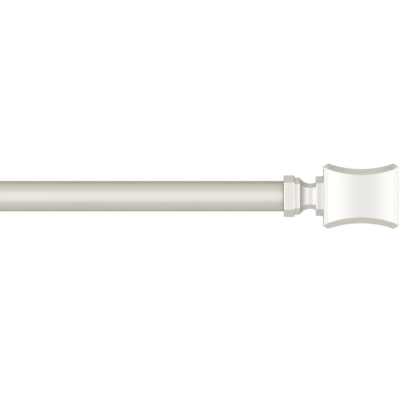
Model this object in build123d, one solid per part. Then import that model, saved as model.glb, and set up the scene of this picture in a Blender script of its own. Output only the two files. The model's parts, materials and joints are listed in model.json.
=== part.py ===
from build123d import *
from math import sqrt
import os

# A telescoping curtain rod: two steel tubes, a square waisted finial screwed into each end, and two wall
# brackets whose arms pull out of the wall plates and whose open cradles hold the rod.
# Sizes are in millimetres. The origin is the middle of the right bracket's wall face, +X runs along the
# rod to the right finial, +Y goes into the wall and +Z is up. Threads are plain cylinders.

# Fits
RUNNING_GAP = 0.05         # round pieces that turn or slide in each other, on the radius
PRESS_GAP = 0.02           # pieces pressed or cemented together, on each side
SLIDE_GAP = 0.15           # the arm in its socket, on each side
SEAT_GAP = 0.3             # pieces that rest on each other or clamp each other
FINIAL_GAP = 0.1           # the finial's flat foot on the end of its tube

# Rod tubes
OUTER_TUBE_DIAMETER = 16.0
TUBE_WALL = 0.7
OUTER_TUBE_LENGTH = 685.0
INNER_TUBE_SHOWING = 95.0  # inner tube outside the outer one, as drawn
CLOSED_SHOWING = 26.0      # the same with the rod pushed fully in
CLOSED_END_SPACE = 25.0    # left between the guide plug and the end plug when pushed fully in

# Sleeve in the mouth of the outer tube
SLEEVE_WALL = 0.73
SLEEVE_LENGTH = 14.0
SLEEVE_RIM_LENGTH = 2.0
SLEEVE_RIM_STEP = 0.4      # how far the rim stands out over the outer tube
SLEEVE_RIM_EDGE = 0.35

# Plugs in the tubes
GUIDE_LENGTH = 8.0
GUIDE_SPIGOT_LENGTH = 12.0
END_PLUG_LENGTH = 18.0

# Finial foot, step, neck and flange, in order from the tube
COLLAR_LENGTH = 5.65
COLLAR_WIDTH = 21.9
COLLAR_CHAMFER = 3.75
COLLAR_BEVEL = 0.45
STEP_LENGTH = 2.8
STEP_WIDTH = 19.6
STEP_BEVEL = 0.25
NECK_RUN_IN = 5.7          # from the step to the waist of the neck
NECK_RUN_OUT = 2.8         # from the waist of the neck to the flange
NECK_WIDTH = 13.25
NECK_FLARE = 0.75          # how far the neck has opened again where it meets the flange
FLANGE_LENGTH = 3.95
FLANGE_WIDTH = 21.0

# Finial head
HEAD_LENGTH = 39.4
HEAD_WIDTH = 34.4
HEAD_HOLLOW = 2.9          # depth of the arc in each of its four sides
HEAD_CHAMFER = 3.1
HEAD_POINT = 0.5           # what the end bevels leave of that chamfer at the end faces
HEAD_END_LENGTH = 2.4      # bevel round each end, along the rod
HEAD_END_DEPTH = 1.6       # bevel round each end, towards the rod's axis

# Finial stud
STUD_DIAMETER = 6.0
STUD_TIP_BEVEL = 0.8
STUD_IN_PLUG = 12.0
STUD_IN_FINIAL = 28.0
STUD_END_SPACE = 0.5

# Where the brackets stand
RIGHT_OVERHANG = 185.0     # from the right bracket to the end of the outer tube
LEFT_OVERHANG = 65.0       # from the left bracket to the mouth of the outer tube

# Wall plate and arm socket
PLATE_WIDTH = 30.0
PLATE_HEIGHT = 70.0
PLATE_THICKNESS = 6.0
PLATE_CORNER = 4.5
PLATE_BEVEL = 2.2
WALL_HOLE_DIAMETER = 4.8
WALL_HOLE_SINK = 9.2       # countersink across its mouth
WALL_HOLE_EDGE = 11.0      # from the hole's centre to the end of the plate
SOCKET_LENGTH = 44.0
SOCKET_WALL = 3.0
SOCKET_CHAMFER = 3.0
SOCKET_END_BEVEL = 0.6
LOCK_SETBACK = 8.0         # from the front of the socket to the arm's thumb screw

# Arm and cradle
ARM_WIDTH = 11.0
ARM_CHAMFER = 1.9
ARM_FLOOR_SPACE = 1.0
ARM_SHOWING = 13.7         # between socket and cradle, pushed fully in
HUB_DEPTH = 10.0
HUB_WALL = 2.2
HUB_CHAMFER = 2.6
PIN_DIAMETER = 3.0
CUP_WALL = 3.0
CUP_LIP = 1.2              # how far the cup's walls rise past the screw boss
CUP_LIP_ROUND = 1.0

# Thumb screws
SCREW_DIAMETER = 5.0
SCREW_TIP_BEVEL = 0.5
BOSS_DIAMETER = 10.0
BOSS_LENGTH = 4.5
BOSS_EDGE = 0.6
KNOB_DIAMETER = 13.0
KNOB_LENGTH = 9.0
KNOB_EDGE = 1.0
KNOB_SPACE = 2.0           # between boss and knob with the screw done up
KNOB_BORE_DEPTH = 6.0
FLUTE_COUNT = 24
FLUTE_RADIUS = 0.7
FLUTE_DEPTH = 0.45

# Sizes that follow
OUTER_RADIUS = OUTER_TUBE_DIAMETER / 2
OUTER_BORE = OUTER_RADIUS - TUBE_WALL
INNER_RADIUS = OUTER_BORE - PRESS_GAP - SLEEVE_WALL - RUNNING_GAP
INNER_BORE = INNER_RADIUS - TUBE_WALL
INNER_TUBE_LENGTH = OUTER_TUBE_LENGTH - END_PLUG_LENGTH - CLOSED_END_SPACE - GUIDE_LENGTH + CLOSED_SHOWING

TUBE_END = RIGHT_OVERHANG
MOUTH = TUBE_END - OUTER_TUBE_LENGTH
INNER_END = MOUTH - INNER_TUBE_SHOWING
LEFT_BRACKET = MOUTH + LEFT_OVERHANG

NECK_START = COLLAR_LENGTH + STEP_LENGTH
NECK_WAIST = NECK_START + NECK_RUN_IN
NECK_END = NECK_WAIST + NECK_RUN_OUT
FOOT_LENGTH = NECK_END + FLANGE_LENGTH
STUD_RADIUS = STUD_DIAMETER / 2

CUP_RADIUS = OUTER_RADIUS + SEAT_GAP
CUP_OUTSIDE = CUP_RADIUS + CUP_WALL
CUP_HEIGHT = BOSS_DIAMETER / 2 + CUP_LIP
HUB_WIDTH = ARM_WIDTH + 2 * (PRESS_GAP + HUB_WALL)
SOCKET_BORE = ARM_WIDTH + 2 * SLIDE_GAP
SOCKET_WIDTH = SOCKET_BORE + 2 * SOCKET_WALL
SOCKET_FRONT = PLATE_THICKNESS + SOCKET_LENGTH
HUB_BACK = SOCKET_FRONT + ARM_SHOWING
HUB_FLOOR = HUB_BACK + HUB_DEPTH
PROJECTION = HUB_FLOOR + CUP_OUTSIDE
LOCK_OUT = SOCKET_FRONT - LOCK_SETBACK

ROD_LINE = Pos(0, -PROJECTION, 0)
STANDING = (Align.CENTER, Align.CENTER, Align.MIN)


def round_bar(radius, start, end):
    """A round bar along X between two places."""
    return Pos(start, 0, 0) * Rot(0, 90, 0) * Cylinder(radius, end - start, align=STANDING)


def square_bar(width, corner, start, end):
    """A square bar standing out from the wall between two distances, its four long edges cut off."""
    section = chamfer(Rectangle(width, width).vertices(), corner)
    return extrude(Plane.XZ.offset(start) * section, amount=end - start)


def outer_tube():
    """The large tube, from its mouth to the right finial."""
    return round_bar(OUTER_RADIUS, MOUTH, TUBE_END) - round_bar(OUTER_BORE, MOUTH, TUBE_END)


def inner_tube():
    """The small tube, from the left finial to its guide plug inside the large tube."""
    end = INNER_END + INNER_TUBE_LENGTH
    return round_bar(INNER_RADIUS, INNER_END, end) - round_bar(INNER_BORE, INNER_END, end)


def glide_sleeve():
    """A flanged plastic sleeve pressed into the mouth of the large tube, in which the small one runs."""
    rim = round_bar(OUTER_RADIUS + SLEEVE_RIM_STEP, MOUTH - SLEEVE_RIM_LENGTH, MOUTH)
    rim = chamfer(rim.edges().filter_by(GeomType.CIRCLE), SLEEVE_RIM_EDGE)
    barrel = round_bar(OUTER_BORE - PRESS_GAP, MOUTH, MOUTH + SLEEVE_LENGTH)
    bore = round_bar(INNER_RADIUS + RUNNING_GAP, MOUTH - SLEEVE_RIM_LENGTH, MOUTH + SLEEVE_LENGTH)
    return rim + barrel - bore


def guide_plug():
    """A plastic plug on the hidden end of the small tube that keeps it in line in the large one."""
    end = INNER_END + INNER_TUBE_LENGTH
    spigot = round_bar(INNER_BORE - PRESS_GAP, end - GUIDE_SPIGOT_LENGTH, end)
    return spigot + round_bar(OUTER_BORE - RUNNING_GAP, end, end + GUIDE_LENGTH)


def end_plug(tube_bore):
    """A threaded plug that fills the end of a tube, outwards along X to its mouth at zero."""
    plug = round_bar(tube_bore - PRESS_GAP, -END_PLUG_LENGTH, 0)
    return plug - round_bar(STUD_RADIUS + RUNNING_GAP, -END_PLUG_LENGTH, 0)


def closed_outline(*upper):
    """A face along X from the lines of its upper half and their mirror image below the X axis."""
    edges = [edge for line in upper for edge in line.edges()]
    below = [edge for line in edges for edge in mirror(line, Plane.XZ).edges()]
    return make_face(edges + below)


def four_sided(side, diagonal):
    """The solid with one outline seen from its four sides and another seen along its diagonals."""
    reach = 2 * max(side.bounding_box().max.Y, diagonal.bounding_box().max.Y)
    flat = extrude(side, amount=reach, both=True)
    cut = extrude(diagonal, amount=reach, both=True)
    return flat & (Rot(90, 0, 0) * flat) & (Rot(45, 0, 0) * cut) & (Rot(-45, 0, 0) * cut)


def foot_outline(spread):
    """The finial from its collar to its flange, with every half width multiplied by spread."""
    collar = spread * COLLAR_WIDTH / 2
    step = spread * STEP_WIDTH / 2
    waist = (NECK_WAIST, spread * NECK_WIDTH / 2)
    flange = spread * FLANGE_WIDTH / 2
    bevel = spread * COLLAR_BEVEL
    neck_top = (NECK_START, step - spread * STEP_BEVEL)
    neck_foot = (NECK_END, waist[1] + spread * NECK_FLARE)
    rise = Polyline(
        (0, 0),
        (0, collar - bevel),
        (COLLAR_BEVEL, collar),
        (COLLAR_LENGTH - COLLAR_BEVEL, collar),
        (COLLAR_LENGTH, collar - bevel),
        (COLLAR_LENGTH, step),
        (NECK_START - STEP_BEVEL, step),
        neck_top,
    )
    run_in = TangentArc(waist, neck_top, tangent=(-1, 0))
    run_out = TangentArc(waist, neck_foot, tangent=(1, 0))
    fall = Polyline(
        neck_foot,
        (NECK_END, flange - bevel),
        (NECK_END + COLLAR_BEVEL, flange),
        (FOOT_LENGTH - COLLAR_BEVEL, flange),
        (FOOT_LENGTH, flange - bevel),
        (FOOT_LENGTH, 0),
    )
    return closed_outline(rise, run_in, run_out, fall)


def head_outline(end, corner, waist):
    """The finial's head from its half widths at the end faces, at the bevels and at its middle."""
    start = FOOT_LENGTH
    finish = FOOT_LENGTH + HEAD_LENGTH
    middle = (start + finish) / 2
    near_corner = (start + HEAD_END_LENGTH, corner)
    far_corner = (finish - HEAD_END_LENGTH, corner)
    rise = Polyline((start, 0), (start, end), near_corner)
    hollow = ThreePointArc(near_corner, (middle, waist), far_corner)
    fall = Polyline(far_corner, (finish, end), (finish, 0))
    return closed_outline(rise, hollow, fall)


def finial():
    """One casting: square collar, step, waisted neck, flange and a block head with hollow sides."""
    spread = (COLLAR_WIDTH - COLLAR_CHAMFER) / (COLLAR_WIDTH / 2) / sqrt(2)
    foot = four_sided(foot_outline(1), foot_outline(spread))
    half = HEAD_WIDTH / 2
    sides = (half - HEAD_END_DEPTH, half, half - HEAD_HOLLOW)
    cuts = (HEAD_POINT, HEAD_CHAMFER, HEAD_CHAMFER)
    diagonals = [(2 * side - cut) / sqrt(2) for side, cut in zip(sides, cuts)]
    head = four_sided(head_outline(*sides), head_outline(*diagonals))
    bore = round_bar(STUD_RADIUS + RUNNING_GAP, 0, STUD_IN_FINIAL + STUD_END_SPACE)
    return Pos(FINIAL_GAP, 0, 0) * (foot + head - bore)


def finial_stud():
    """The steel stud of a finial, from inside its end plug at zero to inside its head."""
    stud = round_bar(STUD_RADIUS, -STUD_IN_PLUG, FINIAL_GAP + STUD_IN_FINIAL)
    return chamfer(stud.edges().filter_by(GeomType.CIRCLE), STUD_TIP_BEVEL)


def wall_hole(height):
    """A countersunk screw hole through the wall plate at a height above its middle."""
    sink = (WALL_HOLE_SINK - WALL_HOLE_DIAMETER) / 2
    hole = Cylinder(WALL_HOLE_DIAMETER / 2, PLATE_THICKNESS, align=STANDING)
    mouth = Cone(WALL_HOLE_DIAMETER / 2, WALL_HOLE_SINK / 2, sink, align=STANDING)
    cutter = hole + Pos(0, 0, PLATE_THICKNESS - sink) * mouth
    return Pos(0, 0, height) * Plane.XZ.location * cutter


def screw_boss(foot):
    """A thumb screw's boss along +Z, from the middle of what carries it to past its face at foot."""
    boss = Cylinder(BOSS_DIAMETER / 2, foot + BOSS_LENGTH, align=STANDING)
    return chamfer(boss.edges().filter_by(GeomType.CIRCLE).sort_by(Axis.Z)[-1:], BOSS_EDGE)


def screw_hole(foot):
    """The threaded hole through that boss, from the middle of what carries it."""
    return Cylinder(SCREW_DIAMETER / 2 + RUNNING_GAP, foot + BOSS_LENGTH, align=STANDING)


def wall_plate():
    """The casting on the wall: bevelled plate, square arm socket and the boss of its thumb screw."""
    face = chamfer(Rectangle(PLATE_WIDTH, PLATE_HEIGHT).vertices(), PLATE_CORNER)
    plate = extrude(Plane.XZ * face, amount=PLATE_THICKNESS)
    plate = chamfer(plate.faces().sort_by(Axis.Y)[0].edges(), PLATE_BEVEL)
    socket = square_bar(SOCKET_WIDTH, SOCKET_CHAMFER, 0, SOCKET_FRONT)
    socket = chamfer(socket.faces().sort_by(Axis.Y)[0].edges(), SOCKET_END_BEVEL)
    bore = square_bar(SOCKET_BORE, ARM_CHAMFER, PLATE_THICKNESS, SOCKET_FRONT)
    below = Plane((0, -LOCK_OUT, 0), z_dir=(0, 0, -1)).location
    boss = below * screw_boss(SOCKET_WIDTH / 2)
    hole = below * screw_hole(SOCKET_WIDTH / 2)
    height = PLATE_HEIGHT / 2 - WALL_HOLE_EDGE
    return plate + socket + boss - bore - hole - wall_hole(height) - wall_hole(-height)


def arm():
    """The square bar that slides in the socket and carries the cradle."""
    bar = square_bar(ARM_WIDTH, ARM_CHAMFER, PLATE_THICKNESS + ARM_FLOOR_SPACE, HUB_FLOOR)
    return bar - cradle_pin()


def cradle_pin():
    """The pin across the hub that holds the cradle on its arm."""
    reach = HUB_WIDTH / 2
    return Pos(0, -(HUB_BACK + HUB_DEPTH / 2), 0) * round_bar(PIN_DIAMETER / 2, -reach, reach)


def cup_section(radius):
    """A round-bottomed slot, open at the top, in the plane across the rod."""
    bowl = Circle(radius) & Pos(0, -radius, 0) * Rectangle(2 * radius, 2 * radius)
    return bowl + Pos(0, CUP_HEIGHT / 2, 0) * Rectangle(2 * radius, CUP_HEIGHT)


def cradle():
    """The casting that holds the rod: a hub on the arm, an open cup and the boss of its thumb screw."""
    cup = extrude(Plane.YZ * cup_section(CUP_OUTSIDE), amount=HUB_WIDTH / 2, both=True)
    rims = cup.faces().sort_by(Axis.Z)[-1].edges().filter_by(Axis.Y)
    cup = chamfer(rims, CUP_LIP_ROUND)
    hub = Pos(0, PROJECTION, 0) * square_bar(HUB_WIDTH, HUB_CHAMFER, HUB_BACK, PROJECTION)
    pocket_width = ARM_WIDTH + 2 * PRESS_GAP
    pocket = Pos(0, PROJECTION, 0) * square_bar(pocket_width, ARM_CHAMFER, HUB_BACK, HUB_FLOOR)
    front = Plane((0, 0, 0), z_dir=(0, -1, 0)).location
    boss = front * screw_boss(CUP_OUTSIDE)
    hole = front * screw_hole(CUP_OUTSIDE)
    well = cup_section(CUP_RADIUS) + Pos(0, HUB_WIDTH, 0) * Rectangle(2 * CUP_RADIUS, 2 * HUB_WIDTH)
    cavity = extrude(Plane.YZ * well, amount=HUB_WIDTH, both=True)
    casting = cup + hub + boss - cavity - hole - pocket
    return ROD_LINE * casting - cradle_pin()


def screw_shank(tip, end):
    """A thumb screw's plain shank along +Z from its tip to its end."""
    shank = Cylinder(SCREW_DIAMETER / 2, end - tip, align=STANDING)
    shank = chamfer(shank.edges().filter_by(GeomType.CIRCLE).sort_by(Axis.Z)[:1], SCREW_TIP_BEVEL)
    return Pos(0, 0, tip) * shank


def screw_knob(start):
    """A fluted round knob along +Z from its inner face, with a blind bore for the shank."""
    body = Cylinder(KNOB_DIAMETER / 2, KNOB_LENGTH, align=STANDING)
    body = chamfer(body.edges().filter_by(GeomType.CIRCLE), KNOB_EDGE)
    ring = KNOB_DIAMETER / 2 + FLUTE_RADIUS - FLUTE_DEPTH
    flute = Cylinder(FLUTE_RADIUS, KNOB_LENGTH, align=STANDING)
    flutes = [place * flute for place in PolarLocations(ring, FLUTE_COUNT)]
    bore = Cylinder(SCREW_DIAMETER / 2 + RUNNING_GAP, KNOB_BORE_DEPTH, align=STANDING)
    return Pos(0, 0, start) * (body - flutes - bore)


def thumb_screw(tip, boss_end):
    """Shank and knob of a thumb screw along +Z, done up so that its tip is at a given height."""
    start = boss_end + KNOB_SPACE
    return screw_shank(tip, start + KNOB_BORE_DEPTH - SEAT_GAP), screw_knob(start)


def bracket():
    """All pieces of one bracket, by name, with the middle of its wall face at the origin."""
    below = Plane((0, -LOCK_OUT, 0), z_dir=(0, 0, -1)).location
    front = Plane((0, -PROJECTION, 0), z_dir=(0, -1, 0)).location
    lock_shank, lock_knob = thumb_screw(ARM_WIDTH / 2 + SEAT_GAP, SOCKET_WIDTH / 2 + BOSS_LENGTH)
    clamp_shank, clamp_knob = thumb_screw(OUTER_RADIUS + SEAT_GAP, CUP_OUTSIDE + BOSS_LENGTH)
    return {
        "wall_plate": wall_plate(),
        "arm": arm(),
        "cradle": cradle(),
        "cradle_pin": cradle_pin(),
        "arm_screw_shank": below * lock_shank,
        "arm_screw_knob": below * lock_knob,
        "rod_screw_shank": front * clamp_shank,
        "rod_screw_knob": front * clamp_knob,
    }


def rod():
    """The tubes, plugs, sleeve and finials at their places on the rod's line."""
    right_end = Pos(TUBE_END, 0, 0)
    left_end = Pos(INNER_END, 0, 0) * Rot(0, 0, 180)
    casting = finial()
    stud = finial_stud()
    pieces = {
        "outer_tube": outer_tube(),
        "inner_tube": inner_tube(),
        "glide_sleeve": glide_sleeve(),
        "guide_plug": guide_plug(),
        "outer_end_plug": right_end * end_plug(OUTER_BORE),
        "inner_end_plug": left_end * end_plug(INNER_BORE),
        "right_finial": right_end * casting,
        "right_finial_stud": right_end * stud,
        "left_finial": left_end * casting,
        "left_finial_stud": left_end * stud,
    }
    return {name: ROD_LINE * piece for name, piece in pieces.items()}


def main():
    """Writes one file for each piece of the rod and of its two brackets."""
    os.makedirs("parts", exist_ok=True)
    pieces = rod()
    for name, piece in bracket().items():
        pieces[f"right_{name}"] = piece
        pieces[f"left_{name}"] = Pos(LEFT_BRACKET, 0, 0) * piece
    for name, piece in pieces.items():
        export_step(piece, f"parts/{name}.step")


main()
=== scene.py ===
import json
import logging
from abc import ABC, abstractmethod
from dataclasses import dataclass, field
from enum import Enum
from math import pi, radians, sqrt, tan
from typing import Any

import bpy
import numpy as np
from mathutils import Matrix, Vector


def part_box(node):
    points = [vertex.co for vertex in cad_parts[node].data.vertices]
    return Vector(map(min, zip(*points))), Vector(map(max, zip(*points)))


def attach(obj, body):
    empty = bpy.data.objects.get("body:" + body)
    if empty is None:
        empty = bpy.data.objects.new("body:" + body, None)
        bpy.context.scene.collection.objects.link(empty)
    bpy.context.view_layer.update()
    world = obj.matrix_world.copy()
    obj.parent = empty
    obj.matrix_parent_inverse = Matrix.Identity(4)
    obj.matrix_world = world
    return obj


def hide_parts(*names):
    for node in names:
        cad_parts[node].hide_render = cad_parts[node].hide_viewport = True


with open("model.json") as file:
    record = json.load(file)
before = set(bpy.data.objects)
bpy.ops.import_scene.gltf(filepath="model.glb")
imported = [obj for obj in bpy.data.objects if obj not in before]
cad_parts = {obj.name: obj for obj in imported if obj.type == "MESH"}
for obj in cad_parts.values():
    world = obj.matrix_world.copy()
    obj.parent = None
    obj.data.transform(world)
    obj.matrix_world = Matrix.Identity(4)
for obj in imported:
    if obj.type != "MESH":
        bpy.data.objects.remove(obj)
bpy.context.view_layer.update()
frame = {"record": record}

# A telescoping curtain rod: two tubes, a square waisted finial on each end and two wall brackets. Every
# piece is a surface worked out here that stands for the solid of the same name. The frame's origin is the
# middle of the right bracket's wall face, +X runs along the rod, +Y goes into the wall and +Z is up. Sizes
# are in millimetres, and those of the studio's floor and its lamps' distances in metres.

LOG = logging.getLogger("curtain_rod")
METRES = 0.001
Array = np.ndarray
Point = tuple[float, float]

SAME_PLACE = 1e-6      # neighbours on a line that are closer than this are one point
MERGED = 1e-4          # grid on which the points of two skins are matched
NEAR_ZERO = 1e-9       # stands in for nothing where a line runs straight on and a division would fail
GUARD = 0.15           # how near to both ends of a long run its extra points lie
LONG_RUN = 6 * GUARD   # runs that are longer than this have such points
SHORT_FLAT = 1.5       # flats of an outline that are shorter than this have no points of their own
CREASE = radians(40)   # edges that turn by more than this stay sharp
FLAT_ENDS = (0.04, 0.96)   # shares of a flat at which its first and its last point lie


class Heading(Enum):
    """The way a piece runs: the frame's directions for its length, its breadth and its height."""

    RIGHT = ((1, 0, 0), (0, 1, 0), (0, 0, 1))
    LEFT = ((-1, 0, 0), (0, -1, 0), (0, 0, 1))
    OUT = ((0, -1, 0), (1, 0, 0), (0, 0, 1))
    DOWN = ((0, 0, -1), (1, 0, 0), (0, 1, 0))

    @property
    def way(self) -> Array:
        """The direction of the length."""
        return np.array(self.value[0], dtype=float)

    def place(self, points: Array, origin: Array) -> Array:
        """Carries points of (length, breadth, height) into the frame, from an origin there."""
        return points @ np.array(self.value, dtype=float) + origin


class Side(Enum):
    """The two ends of the rod, by the word that starts their pieces' names."""

    RIGHT = "right"
    LEFT = "left"


class Slot(Enum):
    """The record's material slots."""

    TUBE = "satin_nickel_tube"
    CASTING = "satin_nickel_casting"
    RESIN = "satin_nickel_resin"
    STEEL = "bright_steel"
    NYLON = "grey_nylon"


# The body that each CAD node rides on, and its material slot.
BODY_OF = {node: body for body, nodes in frame["record"]["behaviour"]["bodies"].items() for node in nodes}
SLOT_OF = {part["node"]: Slot(part["material_slot"]) for part in frame["record"]["subparts"]}


def box_of(node: str) -> tuple[Array, Array]:
    """Lowest and highest corner of a CAD node at rest, in millimetres."""
    low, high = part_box(node)
    return np.array(low) / METRES, np.array(high) / METRES


@dataclass(frozen=True)
class Shell:
    """One skin: its points, and its four- and three-sided faces by point number."""

    points: Array
    quads: Array
    triangles: Array


def skin(rings: Array, closed: bool = False) -> Shell:
    """Covers a row of rings with faces that point outwards.

    Point j of each ring is joined to point j of the next, and a ring's last point to its first. Each face's
    share of the volume is a third of its area times its distance from the origin; where these add up to less
    than nothing, the faces are turned round.

    Args:
        rings: points by ring, place in the ring and coordinate.
        closed: joins the last ring to the first; otherwise each end ring is closed by a fan from its middle.

    Returns:
        The shell.
    """
    count, around, _ = rings.shape
    points = rings.reshape(-1, 3)
    index = np.arange(count * around).reshape(count, around)
    triangles = np.empty((0, 3), dtype=int)
    if closed:
        index = np.vstack([index, index[:1]])
    ahead = np.roll(index, -1, axis=1)
    quads = np.stack([index[:-1], ahead[:-1], ahead[1:], index[1:]], axis=-1).reshape(-1, 4)
    if not closed:
        first_middle = np.full(around, count * around)
        points = np.vstack([points, rings[0].mean(axis=0), rings[-1].mean(axis=0)])
        first = np.stack([ahead[0], index[0], first_middle], axis=-1)
        last = np.stack([index[-1], ahead[-1], first_middle + 1], axis=-1)
        triangles = np.vstack([first, last])
    halves = np.vstack([quads[:, [0, 1, 2]], quads[:, [0, 2, 3]], triangles])
    a, b, c = points[halves].transpose(1, 0, 2)
    if (a * np.cross(b, c)).sum() < 0:
        quads, triangles = quads[:, ::-1], triangles[:, ::-1]
    return Shell(points, quads, triangles)


def joined(shells: tuple[Shell, ...]) -> Shell:
    """Gathers shells into one.

    Args:
        shells: the shells.

    Returns:
        One shell with all their faces, each shell's faces numbered on from the points before it.
    """
    starts = np.cumsum([0] + [len(shell.points) for shell in shells[:-1]])
    return Shell(
        np.vstack([shell.points for shell in shells]),
        np.vstack([shell.quads + start for shell, start in zip(shells, starts)]),
        np.vstack([shell.triangles + start for shell, start in zip(shells, starts)]),
    )


def rounded(corners: list[Point], radii: list[float], steps: int = 5, closed: bool = False) -> Array:
    """Rounds the corners of a line of points.

    A corner becomes an arc that touches both its sides at radius / tan(half its angle). The arc's centre is
    on the bisector at radius / sin(half its angle). Seen from there, a point of the arc is the two touching
    points weighted by the sines of the angle still to go and of the angle gone, over the sine of the whole
    turn.

    Args:
        corners: the line's points.
        radii: one radius for each corner, 0 where it stays sharp and at an open line's ends.
        steps: faces in each arc.
        closed: whether the last point leads back to the first.

    Returns:
        The points of the rounded line, with an extra one near both ends of each long run, which keeps the
        shading of the arcs off the flats.
    """
    line = np.array(corners, dtype=float)
    radius = np.array(radii, dtype=float)[:, None]
    back = np.roll(line, 1, axis=0) - line
    ahead = np.roll(line, -1, axis=0) - line
    back /= np.linalg.norm(back, axis=1, keepdims=True)
    ahead /= np.linalg.norm(ahead, axis=1, keepdims=True)
    half = np.arccos(np.clip((back * ahead).sum(axis=1, keepdims=True), -1, 1)) / 2
    bisector = back + ahead
    bisector /= np.maximum(np.linalg.norm(bisector, axis=1, keepdims=True), NEAR_ZERO)
    centre = bisector * radius / np.sin(half)
    start = back * radius / np.tan(half) - centre
    end = ahead * radius / np.tan(half) - centre
    gone = np.linspace(0, 1, steps + 1)[None, :, None]
    turn = (pi - 2 * half)[:, :, None]
    sweep = start[:, None] * np.sin((1 - gone) * turn) + end[:, None] * np.sin(gone * turn)
    points = ((line + centre)[:, None] + sweep / np.maximum(np.sin(turn), NEAR_ZERO)).reshape(-1, 2)
    if closed:
        points = np.vstack([points, points[:1]])
    moved = np.linalg.norm(np.diff(points, axis=0), axis=1) > SAME_PLACE
    points = guarded(points[np.concatenate([[True], moved])])
    return points[:-1] if closed else points


def guarded(points: Array) -> Array:
    """Adds a point close to both ends of every long run.

    Args:
        points: the points of a line.

    Returns:
        The line with its extra points.
    """
    runs = np.linalg.norm(np.diff(points, axis=0), axis=1)
    along = np.concatenate([[0], np.cumsum(runs)])
    long = runs > LONG_RUN
    places = np.union1d(along, np.concatenate([along[:-1][long] + GUARD, along[1:][long] - GUARD]))
    return np.stack([np.interp(places, along, column) for column in points.T], axis=1)


def level_arc(level: Point, end: Point, steps: int) -> Array:
    """Points of an arc that leaves one place level and runs to another.

    With the run r and the rise h between the two, the radius is (r r + h h) / 2 h, and the centre is
    straight above or below the level place. At the angle t the arc has run radius sin t and risen
    radius (1 - cos t), and it ends where sin t is r / radius.

    Args:
        level: the place where the arc is level.
        end: the place where it ends.
        steps: straight runs in the arc.

    Returns:
        The arc's points.
    """
    run, rise = end[0] - level[0], end[1] - level[1]
    radius = (run ** 2 + rise ** 2) / (2 * rise)
    angle = np.linspace(0, np.arcsin(run / radius), steps + 1)
    return np.array(level) + radius * np.stack([np.sin(angle), 1 - np.cos(angle)], axis=1)


def turned(rows: Array, around: int) -> Array:
    """Turns a line about the length: breadth is radius cos t and height is radius sin t.

    Args:
        rows: length and radius of each ring.
        around: points in each ring.

    Returns:
        Points of (length, breadth, height) by ring.
    """
    angle = np.linspace(0, 2 * pi, around, endpoint=False)
    length, radius = rows[:, :1], rows[:, 1:]
    return np.stack(np.broadcast_arrays(length, radius * np.cos(angle), radius * np.sin(angle)), axis=-1)


def strung(lengths: Array, sections: Array) -> Array:
    """Puts each section's points of (breadth, height) at that section's length."""
    spread = np.broadcast_to(lengths[:, None, None], sections.shape[:2] + (1,))
    return np.concatenate([spread, sections], axis=-1)


def outlines(angles: Array, faces: Array, rounding: Array, steps: int = 4, flats: int = 2) -> Array:
    """Convex outlines, given by the directions of their faces and the faces' distances from the middle.

    Every face is drawn in by the rounding of its corner. Two neighbours then meet at the first one's foot
    plus (second distance - first distance cos turn) / sin turn along the first face, and about that point an
    arc of the rounding's radius sweeps from the one direction to the other.

    Args:
        angles: directions of the faces, rising through one turn.
        faces: distances by outline and face.
        rounding: radius of the corner after each face.
        steps: faces in each rounded corner.
        flats: points added on each flat that isn't short, the first and last of them close to its ends.

    Returns:
        Points by outline, place and coordinate.
    """
    turn = (np.roll(angles, -1) - angles) % (2 * pi)
    near = faces - rounding
    far = np.roll(faces, -1, axis=1) - rounding
    reach = (far - near * np.cos(turn)) / np.sin(turn)
    across = np.stack([np.cos(angles), np.sin(angles)], axis=-1)
    along = np.stack([-np.sin(angles), np.cos(angles)], axis=-1)
    corner = near[:, :, None] * across + reach[:, :, None] * along
    sweep = angles[:, None] + turn[:, None] * np.linspace(0, 1, steps + 1)
    arcs = rounding[:, None, None] * np.stack([np.cos(sweep), np.sin(sweep)], axis=-1)
    curved = corner[:, :, None] + arcs
    start = curved[:, :, -1:]
    run = np.roll(curved[:, :, :1], -1, axis=1) - start
    share = np.linspace(*FLAT_ENDS, flats)[None, None, :, None]
    points = np.concatenate([curved, start + run * share], axis=2)
    kept = np.ones(points.shape[1:3], dtype=bool)
    kept[np.linalg.norm(run, axis=-1).max(axis=(0, 2)) < SHORT_FLAT, steps + 1:] = False
    return points[:, kept]


EIGHT_WAYS = np.arange(8) * pi / 4   # directions of a square's sides and of its cut corners


def cut_square(wide: Array, cut: Array, rounding: float) -> Array:
    """Square outlines with their corners cut off at 45 degrees.

    A cut face's distance from the middle is (two half widths - cut) / sqrt 2.

    Args:
        wide: half width of each outline.
        cut: what is cut off on both sides of its corners.
        rounding: radius of the corners that are left.

    Returns:
        Points by outline, place and coordinate.
    """
    slant = (2 * wide - cut) / sqrt(2)
    faces = np.where(np.arange(8) % 2 == 0, wide[:, None], slant[:, None])
    return outlines(EIGHT_WAYS, faces, np.full(8, rounding))


def drawn_in(half: float, cut: float, rows: Array, rounding: float) -> Array:
    """Rings of a square bar with cut corners.

    A row's inset moves every face inwards alike, so the cut on both sides of a corner shrinks by
    (2 - sqrt 2) insets.

    Args:
        half: the bar's half width.
        cut: its corners' cut.
        rows: length and inset of each ring.
        rounding: radius of its long edges.

    Returns:
        Points of (length, breadth, height) by ring.
    """
    inset = rows[:, 1]
    return strung(rows[:, 0], cut_square(half - inset, cut - (2 - sqrt(2)) * inset, rounding))


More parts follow.
